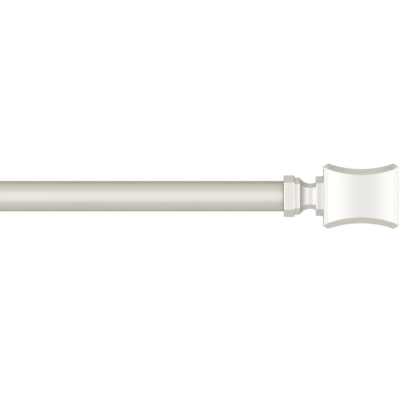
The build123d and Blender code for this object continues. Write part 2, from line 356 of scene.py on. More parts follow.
def sheet_round_hole(edge: Array, rim: Array, hole: Array, face_rows: int) -> Array:
    """Rings of a plate that is wrapped about its screw hole, from the hole over both faces to the edge.

    Each ring of the hole is the direction of every edge point times the hole's radius there. On a face,
    rings are spread evenly on the straight lines from the hole's mouth to the edge.

    Args:
        edge: outlines of the edge about the hole's middle, one for each row of the rim.
        rim: depth of each outline, from the front face round to the back.
        hole: depth and radius of the hole's rings, from the back face to the front.
        face_rows: rings on each face.

    Returns:
        Points of (depth, breadth, height) by ring; the last ring leads back to the first.
    """
    direction = edge[0] / np.linalg.norm(edge[0], axis=1, keepdims=True)
    bore = hole[:, 1, None, None] * direction
    share = np.linspace(0, 1, face_rows + 2)[1:-1, None, None]
    front = bore[-1] + (edge[0] - bore[-1]) * share
    back = edge[-1] + (bore[0] - edge[-1]) * share
    depth = np.concatenate([hole[:, 0], np.full(face_rows, rim[0]), rim, np.full(face_rows, rim[-1])])
    return strung(depth, np.concatenate([bore, front, edge, back]))


def linear(code: str) -> tuple[float, float, float, float]:
    """Turns an sRGB colour into the linear one that sockets take.

    Args:
        code: the colour in hex, such as #C0C0C0.

    Returns:
        Red, green, blue and a full alpha.
    """
    shares = [int(code[i:i + 2], 16) / 255 for i in (1, 3, 5)]
    red, green, blue = [s / 12.92 if s <= 0.04045 else ((s + 0.055) / 1.055) ** 2.4 for s in shares]
    return red, green, blue, 1.0


def add_node(
    tree: bpy.types.NodeTree,
    kind: str,
    settings: dict[str | int, Any] | None = None,
    links: dict[str | int, bpy.types.NodeSocket] | None = None,
) -> bpy.types.Node:
    """Adds a node with its settings and links.

    Args:
        tree: the node tree that takes it.
        kind: the node's type.
        settings: values by option or by input.
        links: output sockets by input.

    Returns:
        The node.
    """
    node = tree.nodes.new(kind)
    for key, value in (settings or {}).items():
        if isinstance(key, int) or key in node.inputs:
            node.inputs[key].default_value = value
        else:
            setattr(node, key, value)
    for key, socket in (links or {}).items():
        tree.links.new(socket, node.inputs[key])
    return node


# A colour mix has its sockets at these numbers, since its other kinds of mix share their names.
MIX_SHARE, MIX_FIRST, MIX_SECOND, MIX_COLOUR = 0, 6, 7, 2
NOISE_RANGE = {"From Min": 0.3, "From Max": 0.7}   # noise seldom leaves this range
WHITE = "#FFFFFF"


@dataclass(frozen=True)
class Finish(ABC):
    """A material and how its surface was made."""

    name: str

    @abstractmethod
    def shade(self, tree: bpy.types.NodeTree) -> bpy.types.Node:
        """Adds the nodes of the surface.

        Args:
            tree: the material's nodes.

        Returns:
            The surface's shader.
        """

    def material(self) -> bpy.types.Material:
        """Makes the material.

        Returns:
            The material, with the finish's shader as its surface.
        """
        material = bpy.data.materials.new(self.name)
        material.use_nodes = True
        tree = material.node_tree
        tree.nodes.clear()
        shader = self.shade(tree)
        add_node(tree, "ShaderNodeOutputMaterial", links={"Surface": shader.outputs[0]})
        return material

    @staticmethod
    def marks(
        tree: bpy.types.NodeTree, size: tuple[float, float, float], detail: float
    ) -> bpy.types.NodeSocket:
        """Adds noise with marks of a real size.

        Args:
            tree: the material's nodes.
            size: the marks' size in millimetres along X, Y and Z.
            detail: how many finer layers the marks have.

        Returns:
            The noise.
        """
        place = add_node(tree, "ShaderNodeTexCoord")
        scale = tuple(1 / (length * METRES) for length in size)
        spread = add_node(tree, "ShaderNodeMapping", {"Scale": scale}, {"Vector": place.outputs["Object"]})
        noise = add_node(
            tree, "ShaderNodeTexNoise", {"Scale": 1.0, "Detail": detail}, {"Vector": spread.outputs["Vector"]}
        )
        return noise.outputs["Fac"]

    def mottle(
        self, tree: bpy.types.NodeTree, size: float, detail: float, low: str, high: str
    ) -> tuple[bpy.types.NodeSocket, bpy.types.NodeSocket]:
        """Adds noise and a colour that wanders with it.

        Args:
            tree: the material's nodes.
            size: the marks' size in millimetres, alike in every direction.
            detail: how many finer layers the marks have.
            low: the colour where the noise is lowest.
            high: the colour where it is highest.

        Returns:
            The colour and the noise.
        """
        noise = self.marks(tree, (size,) * 3, detail)
        colour = add_node(
            tree, "ShaderNodeMix",
            {"data_type": "RGBA", MIX_FIRST: linear(low), MIX_SECOND: linear(high)},
            {MIX_SHARE: noise},
        )
        return colour.outputs[MIX_COLOUR], noise


@dataclass(frozen=True)
class SatinNickel(Finish):
    """Nickel plate under a satin lacquer.

    The plate is a warm pale grey. The lacquer blurs what it mirrors into a broad soft sheen, and its rims,
    seen at a low angle, are darker than the middle.
    """

    plate: str
    cloud: str
    rim: str
    roughness: float
    grain: tuple[float, float, float]
    grain_depth: float
    metallic: float = 0.75
    cloud_size: float = 45.0
    cloud_detail: float = 2.0
    grain_detail: float = 3.0
    grain_strength: float = 0.5
    grain_stir: float = 0.02
    lacquer: float = 0.12
    lacquer_roughness: float = 0.25

    def shade(self, tree: bpy.types.NodeTree) -> bpy.types.Node:
        """Mixes plate and clouds, and lets the grain of the surface stir its roughness and its height.

        Args:
            tree: the material's nodes.

        Returns:
            The surface's shader.
        """
        colour, _ = self.mottle(tree, self.cloud_size, self.cloud_detail, self.cloud, self.plate)
        grain = self.marks(tree, self.grain, self.grain_detail)
        low, high = self.roughness - self.grain_stir, self.roughness + self.grain_stir
        roughness = add_node(
            tree, "ShaderNodeMapRange", {**NOISE_RANGE, "To Min": low, "To Max": high}, {"Value": grain}
        )
        bump = add_node(
            tree, "ShaderNodeBump",
            {"Strength": self.grain_strength, "Distance": self.grain_depth * METRES},
            {"Height": grain},
        )
        return add_node(
            tree, "ShaderNodeBsdfPrincipled",
            {
                "Metallic": self.metallic, "Specular Tint": linear(self.rim),
                "Coat Weight": self.lacquer, "Coat Roughness": self.lacquer_roughness,
            },
            {
                "Base Color": colour, "Roughness": roughness.outputs["Result"],
                "Normal": bump.outputs["Normal"],
            },
        )


@dataclass(frozen=True)
class ZincSteel(Finish):
    """Turned steel under bright zinc: a cooler grey than the nickel, with a fine mottle in its gloss."""

    zinc: str
    shadow: str
    roughness: float
    crystal: float
    crystal_detail: float = 4.0
    crystal_stir: float = 0.06

    def shade(self, tree: bpy.types.NodeTree) -> bpy.types.Node:
        """Mottles colour and roughness with crystals of the zinc's size.

        Args:
            tree: the material's nodes.

        Returns:
            The surface's shader.
        """
        colour, crystals = self.mottle(tree, self.crystal, self.crystal_detail, self.shadow, self.zinc)
        low, high = self.roughness - self.crystal_stir, self.roughness + self.crystal_stir
        roughness = add_node(
            tree, "ShaderNodeMapRange", {**NOISE_RANGE, "To Min": low, "To Max": high}, {"Value": crystals}
        )
        return add_node(
            tree, "ShaderNodeBsdfPrincipled", {"Metallic": 1.0},
            {"Base Color": colour, "Roughness": roughness.outputs["Result"]},
        )


@dataclass(frozen=True)
class MouldedNylon(Finish):
    """Nylon moulded in a spark-eroded tool: a mid grey with a fine pebbled, slightly waxy skin."""

    colour: str
    shadow: str
    roughness: float
    pebble: float
    pebble_depth: float
    pebble_detail: float = 2.0
    pebble_strength: float = 0.6
    ior: float = 1.53

    def shade(self, tree: bpy.types.NodeTree) -> bpy.types.Node:
        """Stirs the colour a little and raises the pebbles.

        Args:
            tree: the material's nodes.

        Returns:
            The surface's shader.
        """
        colour, pebbles = self.mottle(tree, self.pebble, self.pebble_detail, self.shadow, self.colour)
        bump = add_node(
            tree, "ShaderNodeBump",
            {"Strength": self.pebble_strength, "Distance": self.pebble_depth * METRES},
            {"Height": pebbles},
        )
        return add_node(
            tree, "ShaderNodeBsdfPrincipled", {"Roughness": self.roughness, "IOR": self.ior},
            {"Base Color": colour, "Normal": bump.outputs["Normal"]},
        )


FINISHES: dict[Slot, Finish] = {
    # Drawing leaves fine lines along the tube, so its sheen runs lengthwise in one soft band. They are under
    # 0.1 mm wide and are drawn at 0.7 mm to show at all.
    Slot.TUBE: SatinNickel(
        "satin nickel on drawn steel tube", "#D0CDC3", "#CBC8BE", "#8A8882", 0.38, (60.0, 0.7, 0.7), 0.004,
        metallic=0.8, lacquer=0.05,
    ),
    # Plate on die-cast zinc follows the casting's fine even skin, so its flats are calm and its edges soft.
    # That skin is as fine as the tube's lines and is drawn at 1.4 mm.
    Slot.CASTING: SatinNickel(
        "satin nickel on die-cast zinc", "#CFCDC5", "#CBC9C1", "#8E8C86", 0.36, (1.4, 1.4, 1.4), 0.004
    ),
    # A metallic coat sprayed on cast resin flows out smoother than plate, so its hollows shade evenly.
    Slot.RESIN: SatinNickel(
        "satin nickel coat on cast resin", "#D0CEC7", "#CDCBC4", "#8E8C86", 0.36, (1.4, 1.4, 1.4), 0.003
    ),
    # Bright zinc glints colder than the nickel round it. Its crystals are too fine to see and are drawn at
    # 0.8 mm.
    Slot.STEEL: ZincSteel("bright zinc on turned steel", "#BFC1C4", "#A9ABAE", 0.28, 0.8),
    # Nylon is dull beside the metal, a plain grey ring in the mouth of the tube. Its pebbles are about 0.2 mm
    # wide and are drawn at 0.5 mm.
    Slot.NYLON: MouldedNylon("moulded grey nylon", "#8E8D89", "#858480", 0.48, 0.5, 0.02),
}


@dataclass
class SubAssembly:
    """Pieces that are made and dressed together, each kept under the name of the CAD node it stands for."""

    pieces: dict[str, bpy.types.Object] = field(default_factory=dict, init=False)

    def add(self, node: str, *shells: Shell) -> None:
        """Makes one smooth piece of closed shells, which replaces a CAD node and rides on its body.

        Args:
            node: the CAD node.
            shells: the piece's skins, in millimetres of the frame.
        """
        whole = joined(shells)
        faces = whole.quads.tolist() + whole.triangles.tolist()
        mesh = bpy.data.meshes.new(f"{node}_surface")
        mesh.from_pydata((whole.points * METRES).tolist(), [], faces)
        mesh.shade_smooth()
        mesh.set_sharp_from_angle(angle=CREASE)
        piece = bpy.data.objects.new(f"{node}_surface", mesh)
        bpy.context.scene.collection.objects.link(piece)
        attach(piece, BODY_OF[node])
        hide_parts(node)
        self.pieces[node] = piece
        LOG.info("%s: %d points, rides on %s", node, len(whole.points), BODY_OF[node])

    def dress(self, palette: dict[Slot, bpy.types.Material]) -> None:
        """Gives each piece the material of its node's slot.

        Args:
            palette: a material for each slot.
        """
        for node, piece in self.pieces.items():
            piece.data.materials.append(palette[SLOT_OF[node]])


@dataclass
class Thread:
    """A screw thread cut into a round bar whose ends are chamfered."""

    radius: float
    pitch: float
    depth: float
    chamfer: float
    rows_per_turn: int = 10
    around: int = 40
    crest_gain: float = 1.25

    def rings(self, start: float, end: float) -> Array:
        """Works out the bar between two lengths.

        The radius falls from the crest by the depth times a triangle wave of (length / pitch - angle / turn),
        which the gain lifts and cuts off to flatten the crest. It never passes the chamfer's slope at either
        end.

        Args:
            start: where the bar begins.
            end: where it ends.

        Returns:
            Points of (length, breadth, height) by ring.
        """
        count = round((end - start) / self.pitch * self.rows_per_turn)
        length = np.linspace(start, end, count)[:, None]
        angle = np.linspace(0, 2 * pi, self.around, endpoint=False)
        wave = np.abs((length / self.pitch - angle / (2 * pi)) % 1 * 2 - 1)
        radius = self.radius - self.depth * (1 - np.minimum(wave * self.crest_gain, 1))
        slope = self.radius - self.chamfer + np.minimum(length - start, end - length)
        radius = np.minimum(radius, slope)
        spread = np.broadcast_to(length, radius.shape)
        return np.stack([spread, radius * np.cos(angle), radius * np.sin(angle)], axis=-1)


@dataclass
class Rod(SubAssembly):
    """The two tubes with the sleeve and plugs in their ends."""

    wall: float = 0.7
    tube_edge: float = 0.08
    roll_length: float = 1.2
    roll_depth: float = 0.07
    roll_steps: int = 8
    sleeve_rim: float = 2.0
    sleeve_edge: float = 0.35
    sleeve_mouth: float = 0.2
    sleeve_tail: float = 0.1
    press_gap: float = 0.02
    running_gap: float = 0.05
    guide_spigot: float = 12.0
    plug_edge: float = 0.5
    stud_radius: float = 3.0
    around: int = 192

    def build(self) -> None:
        """Makes the tubes, the sleeve and the plugs."""
        outer_low, outer_high = box_of("outer_tube")
        inner_low, inner_high = box_of("inner_tube")
        inner_radius = (inner_high - inner_low)[2] / 2
        outer_bore = (outer_high - outer_low)[2] / 2 - self.wall
        inner_bore = inner_radius - self.wall
        self.make_tube("outer_tube", outer_bore)
        self.make_tube("inner_tube", inner_bore)
        self.make_sleeve(outer_bore, inner_radius)
        self.make_guide(inner_bore)
        self.make_plug("outer_end_plug")
        self.make_plug("inner_end_plug")

    def make_tube(self, node: str, bore: float) -> None:
        """Turns a tube whose outer edges are rolled in a little, each in an arc that leaves its side level.

        Args:
            node: the CAD node.
            bore: radius of the tube's inside.
        """
        low, high = box_of(node)
        radius, edge = (high - low)[2] / 2, self.tube_edge
        rim = radius - self.roll_depth
        left = level_arc((low[0] + self.roll_length, radius), (low[0], rim), self.roll_steps)[::-1]
        right = level_arc((high[0] - self.roll_length, radius), (high[0], rim), self.roll_steps)
        line = [(low[0], bore), *map(tuple, left), *map(tuple, right), (high[0], bore)]
        radii = [edge, edge, *[0.0] * (len(line) - 4), edge, edge]
        self.make_turned(node, rounded(line, radii, closed=True), True)

    def make_plug(self, node: str) -> None:
        """Turns an end plug, a pipe with rounded ends: a rectangle of length and radius.

        Args:
            node: the CAD node.
        """
        low, high = box_of(node)
        radius, bore = (high - low)[2] / 2, self.stud_radius + self.running_gap
        corners = [(low[0], bore), (low[0], radius), (high[0], radius), (high[0], bore)]
        self.make_turned(node, rounded(corners, [self.plug_edge] * 4, closed=True), True)

    def make_sleeve(self, tube_bore: float, inner_radius: float) -> None:
        """Turns the sleeve: a thin barrel in the tube's mouth with a rim in front of it.

        Args:
            tube_bore: radius of the large tube's inside.
            inner_radius: radius of the small tube's outside.
        """
        low, high = box_of("glide_sleeve")
        rim, shoulder = (high - low)[2] / 2, low[0] + self.sleeve_rim
        barrel, bore = tube_bore - self.press_gap, inner_radius + self.running_gap
        corners = [
            (low[0], bore), (low[0], rim), (shoulder, rim), (shoulder, barrel), (high[0], barrel),
            (high[0], bore),
        ]
        edge, mouth = self.sleeve_edge, self.sleeve_mouth
        radii = [mouth, edge, edge, 0.0, mouth, self.sleeve_tail]
        self.make_turned("glide_sleeve", rounded(corners, radii, closed=True), True)

    def make_guide(self, tube_bore: float) -> None:
        """Turns the guide plug: a spigot in the small tube and a head that runs in the large one.

        Args:
            tube_bore: radius of the small tube's inside.
        """
        low, high = box_of("guide_plug")
        head, spigot = (high - low)[2] / 2, tube_bore - self.press_gap
        shoulder = low[0] + self.guide_spigot
        corners = [
            (low[0], spigot / 2), (low[0], spigot), (shoulder, spigot), (shoulder, head), (high[0], head),
            (high[0], head / 2),
        ]
        edge = self.plug_edge
        self.make_turned("guide_plug", rounded(corners, [0.0, edge, 0.0, edge, edge, 0.0]), False)

    def make_turned(self, node: str, rows: Array, closed: bool) -> None:
        """Turns a line about the rod's axis into a piece.

        Args:
            node: the CAD node.
            rows: place along the rod and radius of each ring.
            closed: whether the last row leads back to the first.
        """
        low, high = box_of(node)
        origin = (low + high) / 2 * np.array([0, 1, 1])
        self.add(node, skin(Heading.RIGHT.place(turned(rows, self.around), origin), closed))


@dataclass
class Finial(SubAssembly):
    """A finial and its stud: square collar, step, waisted neck, flange and a head with four hollow sides."""

    side: Side
    collar_length: float = 5.65
    collar_half: float = 10.95
    collar_cut: float = 3.75
    step_length: float = 2.8
    step_half: float = 9.8
    neck_in: float = 5.7
    neck_out: float = 2.8
    neck_half: float = 6.625
    neck_flare: float = 0.75
    flange_length: float = 3.95
    flange_half: float = 10.45
    flange_flare_length: float = 2.3
    flange_flare: float = 0.3
    head_length: float = 39.4
    head_half: float = 17.2
    head_hollow: float = 2.9
    head_cut: float = 3.1
    point_cut: float = 0.5
    head_face: float = 3.0
    bevel_length: float = 2.4
    bevel_depth: float = 1.6
    fillet: float = 0.4
    edge_length: float = 0.6
    edge_depth: float = 0.2
    edge_round: float = 0.15
    face_round: float = 0.1
    step_edge_length: float = 0.95
    step_edge_depth: float = 0.2
    step_round: float = 0.3
    soft_edge: float = 0.5
    crisp_edge: float = 0.25
    bore_radius: float = 3.05
    bore_depth: float = 28.5
    mouth_radius: float = 3.355
    mouth_depth: float = 0.3
    neck_steps: int = 14
    flare_steps: int = 8
    hollow_steps: int = 20
    thread: Thread = field(default_factory=lambda: Thread(3.0, 1.0, 0.55, 0.8))

    @property
    def foot_length(self) -> float:
        """Length from the tube to the head."""
        return self.collar_length + self.step_length + self.neck_in + self.neck_out + self.flange_length

    def build(self) -> None:
        """Makes the casting and the stud at their end of the rod."""
        heading = Heading.RIGHT if self.side is Side.RIGHT else Heading.LEFT
        casting, stud = f"{self.side.value}_finial", f"{self.side.value}_finial_stud"
        low, high = box_of(casting)
        origin = (low + high) / 2
        origin[0] = low[0] if self.side is Side.RIGHT else high[0]
        self.add(casting, skin(heading.place(self.casting(), origin)))
        ends = np.sort([(corner - origin) @ heading.way for corner in box_of(stud)])
        self.add(stud, skin(heading.place(self.thread.rings(*ends), origin)))

    def foot_rows(self) -> Array:
        """The line from the collar to the flange, with rounded corners.

        The neck is two arcs that run level at its waist, and the flange rises to the head in a third.

        Returns:
            Rows of length and half width.
        """
        collar, step, flange = self.collar_half, self.step_half, self.flange_half
        long, deep = self.edge_length, self.edge_depth
        collar_end, step_end = self.collar_length, self.collar_length + self.step_length
        step_top = (step_end, step - self.step_edge_depth)
        waist = (step_end + self.neck_in, self.neck_half)
        neck_end, end = waist[0] + self.neck_out, self.foot_length
        neck_foot = (neck_end, self.neck_half + self.neck_flare)
        edge = self.edge_round
        first = rounded(
            [
                (0, collar / 2), (0, collar - deep), (long, collar), (collar_end - long, collar),
                (collar_end, collar - deep), (collar_end, step), (step_end - self.step_edge_length, step),
                step_top,
            ],
            [0, edge, edge, edge, self.face_round, self.fillet, self.step_round, 0],
        )
        neck = np.vstack([
            level_arc(waist, step_top, self.neck_steps)[::-1],
            level_arc(waist, neck_foot, self.flare_steps)[1:],
        ])
        flare_end = (end, flange + self.flange_flare)
        flared = level_arc((end - self.flange_flare_length, flange), flare_end, self.flare_steps)
        last = rounded(
            [
                neck_foot, (neck_end, flange - deep), (neck_end + long, flange), *map(tuple, flared),
                (end, flare_end[1] + 2 * self.fillet),
            ],
            [0, edge, edge, *[0.0] * (len(flared) - 1), self.face_round, 0],
        )
        return np.vstack([first, neck[1:], last[1:]])

    def head_rows(self) -> Array:
        """The head's line with rounded corners: bevel, hollow arc and bevel.

        Returns:
            Rows of length and half width.
        """
        start, end = self.foot_length, self.foot_length + self.head_length
        middle = ((start + end) / 2, self.head_half - self.head_hollow)
        near = level_arc(middle, (start + self.bevel_length, self.head_half), self.hollow_steps)
        far = level_arc(middle, (end - self.bevel_length, self.head_half), self.hollow_steps)
        hollow = [*map(tuple, near[::-1]), *map(tuple, far[1:])]
        low, soft, crisp = self.head_half - self.bevel_depth, self.soft_edge, self.crisp_edge
        line = [(start, low - self.head_face), (start, low), *hollow, (end, low), (end, low / 2)]
        return rounded(line, [0, soft, crisp, *[0] * (len(hollow) - 2), crisp, soft, 0])

    def casting(self) -> Array:
        """The casting, from the end of its stud's bore out over the foot and along to the head's end.

        Every ring is a square with cut corners. On the foot the cut keeps its share of the width. In the
        head's hollow it keeps its size, and on the bevels the cut face runs on level: the cut shrinks by
        twice what the width loses, down to a point. The bore's rings are circles through the same directions.

        Returns:
            Points of (length, breadth, height) by ring.
        """
        foot, head = self.foot_rows(), self.head_rows()
        off_middle = np.abs(head[:, 0] - self.foot_length - self.head_length / 2)
        on_bevel = off_middle > self.head_length / 2 - self.bevel_length
        lost = np.maximum(self.head_half - head[:, 1], 0) * on_bevel
        foot_cut = self.collar_cut / self.collar_half * foot[:, 1]
        head_cut = np.maximum(self.head_cut - 2 * lost, self.point_cut)
        rows = np.vstack([foot, head])
        section = cut_square(rows[:, 1], np.concatenate([foot_cut, head_cut]), self.crisp_edge)
        bore = np.array([
            (self.bore_depth, self.bore_radius / 2), (self.bore_depth, self.bore_radius),
            (self.mouth_depth, self.bore_radius), (0, self.mouth_radius),
        ])
        direction = section[0] / np.linalg.norm(section[0], axis=1, keepdims=True)
        circles = bore[:, 1, None, None] * direction
        return np.concatenate([strung(bore[:, 0], circles), strung(rows[:, 0], section)])


@dataclass
class ThumbScrew(SubAssembly):
    """A threaded shank and its fluted knob."""

    name: str
    heading: Heading
    thread: Thread = field(default_factory=lambda: Thread(2.5, 0.8, 0.45, 0.5, 10, 36))
    knob_edge: float = 1.0
    flutes: int = 24
    flute_radius: float = 0.7
    flute_depth: float = 0.45
    points_per_flute: int = 12
    bore_radius: float = 2.55
    bore_depth: float = 6.0
    bore_edge: float = 0.2
    dish: float = 0.5
    dish_shares: tuple[float, float, float] = (0.62, 0.55, 0.2)
    dish_edge: float = 0.3

    def build(self) -> None:
        """Makes the shank and the knob on their screw's axis."""
        way = self.heading.way
        for node, shape in ((f"{self.name}_shank", self.thread.rings), (f"{self.name}_knob", self.knob)):
            low, high = box_of(node)
            start, end = np.sort([low @ way, high @ way])
            origin = (low + high) / 2 * (1 - np.abs(way))
            self.add(node, skin(self.heading.place(shape(start, end), origin)))

    def knob(self, start: float, end: float) -> Array:
        """The knob, from the end of its bore round to a shallow dish in its outer face.

        A flute is part of a circle about a place outside the knob: at a distance s from its middle, round the
        knob, the radius is the knob's plus (flute radius - depth) minus sqrt(flute radius squared - s s). A
        ring takes the smaller of that and its own radius in the turned profile. The dish's rim, floor and
        middle are shares of the knob's radius.

        Args:
            start: length at the knob's inner face.
            end: length at its outer face.

        Returns:
            Points of (length, breadth, height) by ring.
        """
        low, high = box_of(f"{self.name}_knob")
        radius = ((high - low) * (1 - np.abs(self.heading.way))).max() / 2
        floor, bore, edge = start + self.bore_depth, self.bore_radius, self.knob_edge
        dish_rim, dish_floor, dish_middle = (radius * share for share in self.dish_shares)
        rows = rounded(
            [
                (floor, bore / 2), (floor, bore), (start, bore), (start, radius), (end, radius),
                (end, dish_rim), (end - self.dish, dish_floor), (end - self.dish, dish_middle),
            ],
            [0, 0, self.bore_edge, edge, edge, self.dish_edge, self.dish_edge, 0],
        )
        angle = np.linspace(0, 2 * pi, self.flutes * self.points_per_flute, endpoint=False)
        spacing = 2 * pi * radius / self.flutes
        off = ((angle * self.flutes / (2 * pi) + 0.5) % 1 - 0.5) * spacing
        depth = np.sqrt(np.maximum(self.flute_radius ** 2 - off ** 2, 0))
        fluted = radius + self.flute_radius - self.flute_depth - depth
        ring = np.minimum(rows[:, 1:], np.minimum(fluted, radius))
        length = np.broadcast_to(rows[:, :1], ring.shape)
        return np.stack([length, ring * np.cos(angle), ring * np.sin(angle)], axis=-1)


@dataclass
class Bracket(SubAssembly):
    """A wall plate with its arm socket, the arm, the cradle on it and its pin."""

    side: Side
    plate_half_width: float = 15.0
    plate_half_height: float = 35.0
    plate_thickness: float = 6.0
    plate_cut: float = 4.5
    plate_bevel: float = 2.2
    plate_back_edge: float = 0.3
    plate_land: float = 1.0
    hole_radius: float = 2.4
    hole_break: float = 0.3
    hole_edge: float = 11.0
    sink_radius: float = 4.6
    sink_land: float = 0.6
    sink_round: float = 0.25
    sink_floor_round: float = 0.1
    socket_half: float = 8.65
    socket_cut: float = 3.0
    socket_front: float = 50.0
    socket_edge: float = 0.6
    socket_foot: float = 1.2
    socket_fillet: float = 1.08
    socket_break: float = 0.3
    bore_half: float = 5.65
    lock_out: float = 42.0
    arm_half: float = 5.5
    arm_cut: float = 1.9
    arm_start: float = 7.0
    arm_edge: float = 0.4
    arm_long_edge: float = 0.25
    arm_end_inset: float = 2.5
    hub_half: float = 7.72
    hub_shy: float = 0.15
    hub_cut: float = 2.6
    hub_back: float = 63.7
    hub_floor: float = 73.7
    hub_mouth: float = 0.6
    pocket_gap: float = 0.02
    pocket_break: float = 0.2
    cup_radius: float = 8.3
    cup_wall: float = 3.0
    cup_height: float = 6.2
    cup_lip: float = 1.0
    cup_land: float = 1.2
    cup_hole_break: float = 0.3
    boss_radius: float = 5.0
    boss_length: float = 4.5
    boss_bore: float = 2.55
    boss_root: float = 1.5
    boss_foot: float = 0.5
    boss_foot_round: float = 0.3
    boss_edge: float = 0.6
    boss_mouth: float = 0.25
    pin_radius: float = 1.5
    pin_proud: float = 0.2
    pin_edge: float = 0.4
    edge: float = 0.5
    long_edge: float = 0.4
    plate_rows: int = 3
    cup_rows: int = 44
    boss_around: int = 72
    pin_around: int = 40

    @property
    def origin(self) -> Array:
        """Middle of the bracket's wall face."""
        low, high = box_of(f"{self.side.value}_wall_plate")
        return np.array([(low[0] + high[0]) / 2, high[1], (low[2] + high[2]) / 2])

    @property
    def projection(self) -> float:
        """Distance of the rod's axis from the wall."""
        return self.hub_floor + self.cup_radius + self.cup_wall

    def out_from_wall(self, distance: float) -> Array:
        """The place at a distance from the wall on the bracket's level middle line."""
        return self.origin + distance * Heading.OUT.way

    def build(self) -> None:
        """Makes the plate, the arm, the cradle and the pin."""
        name = self.side.value
        lock_boss = self.boss(Heading.DOWN, self.lock_out, self.socket_half)
        clamp_boss = self.boss(Heading.OUT, self.projection, self.cup_radius + self.cup_wall)
        self.add(f"{name}_wall_plate", self.plate(), self.socket(), lock_boss)
        self.add(f"{name}_arm", self.arm())
        self.add(f"{name}_cradle", self.hub(), self.cup(), clamp_boss)
        self.add(f"{name}_cradle_pin", self.pin())

    def plate(self) -> Shell:
        """The wall plate: its upper half, wrapped about a countersunk screw hole, and the same half mirrored.

        The halves meet on the level line through the middle, where their faces run on in one plane, so only
        the three outer sides and the two cut corners are drawn in at the bevel. Faces on that line are left
        out, and points of both halves that lie there become one.

        Returns:
            The plate's shell.
        """
        across, tall, deep = self.plate_half_width, self.plate_half_height, self.plate_thickness
        height, bevel, edge = tall - self.hole_edge, self.plate_bevel, self.edge
        rim = rounded(
            [(bevel + self.plate_land, deep), (bevel, deep), (0, deep - bevel), (0, 0), (bevel, 0)],
            [0, edge, edge, self.plate_back_edge, 0],
        )
        slant = (across + tall - self.plate_cut - height) / sqrt(2)
        angles = np.array([0, 1, 2, 3, 4, 6]) * pi / 4
        distances = np.array([across, slant, tall - height, slant, across, height])
        drawn = np.array([1, 1, 1, 1, 1, 0])
        rounding = edge * np.array([1, 1, 1, 1, 0, 0])
        outside = outlines(angles, distances - rim[:, :1] * drawn, rounding, steps=4, flats=8)
        bore, sink = self.hole_radius, self.sink_radius
        hole = rounded(
            [
                (0, bore + self.hole_break), (self.hole_break, bore), (deep - sink + bore, bore),
                (deep, sink), (deep, sink + self.sink_land),
            ],
            [0, 0, self.sink_floor_round, self.sink_round, 0],
        )
        upper = sheet_round_hole(outside, rim[:, 1], hole, self.plate_rows) + np.array([0, 0, height])
        halves = (upper, upper * np.array([1, 1, -1]))
        both = joined(tuple(skin(Heading.OUT.place(half, self.origin), closed=True) for half in halves))
        between = np.abs(both.points[both.quads][..., 2] - self.origin[2]).max(axis=1) < MERGED
        points, place = np.unique(np.round(both.points / MERGED), axis=0, return_inverse=True)
        return Shell(points * MERGED, place.reshape(-1)[both.quads[~between]], both.triangles)

    def socket(self) -> Shell:
        """The arm's socket: a square tube with cut corners, from inside the plate to its open front.

        Returns:
            The socket's shell.
        """
        plate, front, foot = self.plate_thickness, self.socket_front, self.socket_foot
        wall, mouth, soft = self.socket_half - self.bore_half, self.socket_break, self.pocket_break
        rows = rounded(
            [(plate / 2, -foot), (plate, -foot), (plate, 0), (front, 0), (front, wall)],
            [0, 0, self.socket_fillet, self.socket_edge, 0],
        )
        outside = drawn_in(self.socket_half, self.socket_cut, rows[:-1], self.long_edge)
        bore_rows = [
            (front, -mouth), (front - mouth, 0), (front - 2 * mouth, 0), (plate + soft, 0), (plate, soft),
        ]
        bore = drawn_in(self.bore_half, self.arm_cut, np.array(bore_rows), soft)
        return skin(Heading.OUT.place(np.concatenate([outside, bore]), self.origin))

    def boss(self, heading: Heading, out: float, face: float) -> Shell:
        """A thumb screw's boss: a ring with a foot on a face and a softened end.

        Args:
            heading: the way that the boss points.
            out: distance from the wall to the place that its length is measured from.
            face: length at the face that it stands on.

        Returns:
            The boss's shell.
        """
        root, foot, end = face - self.boss_root, self.boss_radius + self.boss_foot, face + self.boss_length
        rows = rounded(
            [
                (root, self.boss_bore), (root, foot), (face, foot), (face + self.boss_foot, self.boss_radius),
                (end, self.boss_radius), (end, self.boss_bore),
            ],
            [0, 0, 0, self.boss_foot_round, self.boss_edge, self.boss_mouth],
            closed=True,
        )
        rings = turned(rows, self.boss_around)
        return skin(heading.place(rings, self.out_from_wall(out)), closed=True)

    def arm(self) -> Shell:
        """The arm: a square bar with cut corners and softened ends.

        Returns:
            The arm's shell.
        """
        start, end, inset = self.arm_start, self.hub_floor, self.arm_end_inset
        line = [(start, inset), (start, 0), (end, 0), (end, inset)]
        rows = rounded(line, [0, self.arm_edge, self.arm_edge, 0])
        rings = drawn_in(self.arm_half, self.arm_cut, rows, self.arm_long_edge)
        return skin(Heading.OUT.place(rings, self.origin))

    def hub(self) -> Shell:
        """The cradle's hub: a square sleeve over the end of the arm, which runs into the wall of the cup.

        Its last two rings follow the middle of the cup's wall, the inner one at half the size: below the
        rod's axis their distance from there is sqrt(middle radius squared - height squared). Its sides are a
        little shy of the cup's, so that no two faces lie in one plane.

        Returns:
            The hub's shell.
        """
        back, floor, soft = self.hub_back, self.hub_floor, self.pocket_break
        pocket_half, half = self.arm_half + self.pocket_gap, self.hub_half - self.hub_shy
        pocket_rows = np.array([(floor, soft), (floor - soft, 0), (back + soft, 0), (back, -soft)])
        pocket = drawn_in(pocket_half, self.arm_cut, pocket_rows, soft)
        mouth = half - pocket_half - self.hub_mouth
        rows = rounded([(back, mouth), (back, 0), (floor, 0)], [0, self.edge, 0])
        outside = drawn_in(half, self.hub_cut, rows, self.long_edge)
        last = outside[-1] * np.array([[[1, 1, 1]], [[1, 0.5, 0.5]]])
        middle = self.cup_radius + self.cup_wall / 2
        below = np.minimum(last[..., 2], 0)
        last[..., 0] = self.projection - np.sqrt(middle ** 2 - below ** 2)
        return skin(Heading.OUT.place(np.concatenate([pocket, outside, last]), self.origin))

